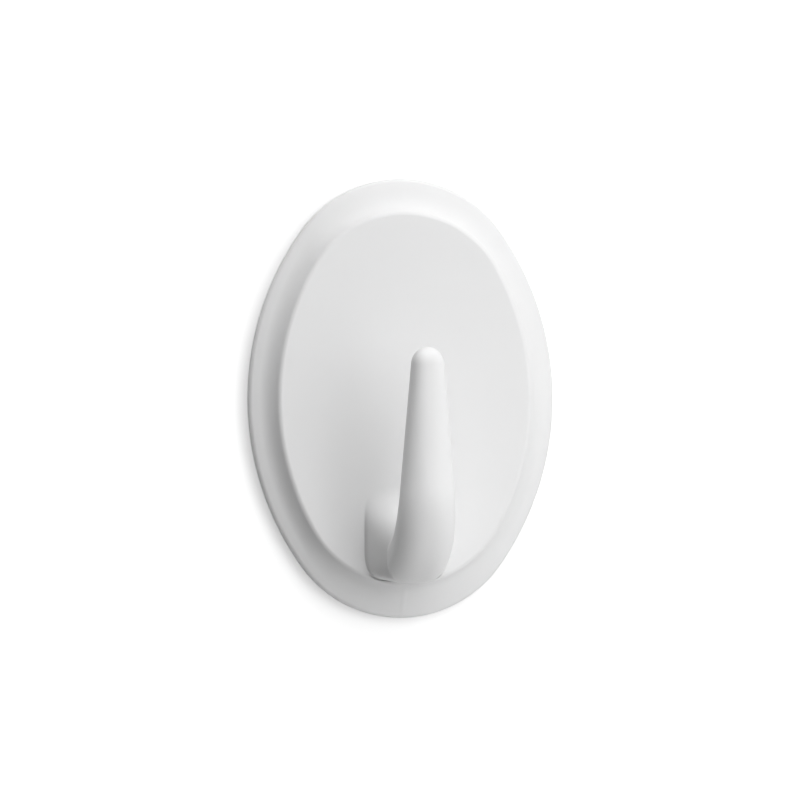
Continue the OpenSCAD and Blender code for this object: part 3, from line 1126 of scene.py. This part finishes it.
def light_world(settings):
    """An even fill for the hook, and plain white for the camera."""
    world = bpy.data.worlds.new("studio")
    world.use_nodes = True
    world.node_tree.nodes.clear()
    tree = Shade(world.node_tree)
    strength = settings.fill + (1 - settings.fill) * white_rays(tree)
    sky = tree.node("ShaderNodeBackground", None, {"Color": (1, 1, 1, 1), "Strength": strength})
    tree.node("ShaderNodeOutputWorld", None, {"Surface": sky})
    bpy.context.scene.world = world


class HOOK_OT_set_stage(bpy.types.Operator):
    """Set the wall, the lamps and the camera"""

    bl_idname = "wall_hook.set_stage"
    bl_label = "Set Stage"

    def execute(self, context):
        hook = context.scene.wall_hook
        settings = hook.stage
        context.scene.view_settings.view_transform = "Standard"
        mesh = bpy.data.meshes.new("wall")
        sides = ((-1, -1), (1, -1), (1, 1), (-1, 1))
        corners = [stand(x * WALL_HALF, z * WALL_HALF, -WALL_GAP) for x, z in sides]
        mesh.from_pydata(corners, [], [(0, 1, 2, 3)])
        new_piece("wall", mesh, wall_paint(settings, hook.finish.wall))
        light_world(settings)
        for name, (place, size) in LAMPS.items():
            lamp(name + "_lamp", place, size, getattr(settings, name))
        right = Vector((math.cos(settings.azimuth), math.sin(settings.azimuth), 0))
        towards = Vector((math.sin(settings.azimuth), -math.cos(settings.azimuth), 0))
        target = right * settings.aim_right - Vector((0, 0, settings.aim_down))
        lens = bpy.data.cameras.new("camera")
        lens.lens = settings.lens
        lens.clip_start = settings.distance * NEAR_SHARE
        camera = bpy.data.objects.new("camera", lens)
        aim(camera, target + towards * settings.distance, target)
        context.scene.camera = camera
        return {"FINISHED"}


class WallHook(bpy.types.PropertyGroup):
    """All that a user may change on the hook."""

    cover: PointerProperty(name="Cover", description="Sizes of the cover", type=CoverSizes)
    arm: PointerProperty(name="Arm", description="Sizes of the hook arm", type=ArmSizes)
    lugs: PointerProperty(name="Lugs", description="Sizes of the lugs", type=LugSizes)
    strip: PointerProperty(name="Strip", description="Sizes of the strip", type=StripSizes)
    finish: PointerProperty(name="Finish", description="Colours of the materials", type=Finishes)
    stage: PointerProperty(name="Stage", description="Camera and light", type=StageSettings)


OPERATORS = (
    HOOK_OT_mould_cover,
    HOOK_OT_mould_lugs,
    HOOK_OT_mould_plate,
    HOOK_OT_lay_strip,
    HOOK_OT_lay_tab,
    HOOK_OT_set_stage,
)


class HOOK_PT_panel(bpy.types.Panel):
    """The steps that build the hook, in order"""

    bl_idname = "HOOK_PT_panel"
    bl_label = "Wall Hook"
    bl_space_type = "VIEW_3D"
    bl_region_type = "UI"
    bl_category = "Wall Hook"

    def draw(self, context):
        for step in OPERATORS:
            self.layout.operator(step.bl_idname)


CLASSES = (
    CoverSizes, ArmSizes, LugSizes, StripSizes, Finishes, StageSettings, WallHook,
    *OPERATORS, HOOK_PT_panel,
)


def register():
    for cls in CLASSES:
        bpy.utils.register_class(cls)
    bpy.types.Scene.wall_hook = PointerProperty(type=WallHook)


def unregister():
    del bpy.types.Scene.wall_hook
    for cls in reversed(CLASSES):
        bpy.utils.unregister_class(cls)


def main():
    register()
    bpy.ops.wall_hook.mould_cover()
    bpy.ops.wall_hook.mould_lugs()
    bpy.ops.wall_hook.mould_plate()
    bpy.ops.wall_hook.lay_strip()
    bpy.ops.wall_hook.lay_tab()
    bpy.ops.wall_hook.set_stage()


if __name__ == "__main__":
    main()
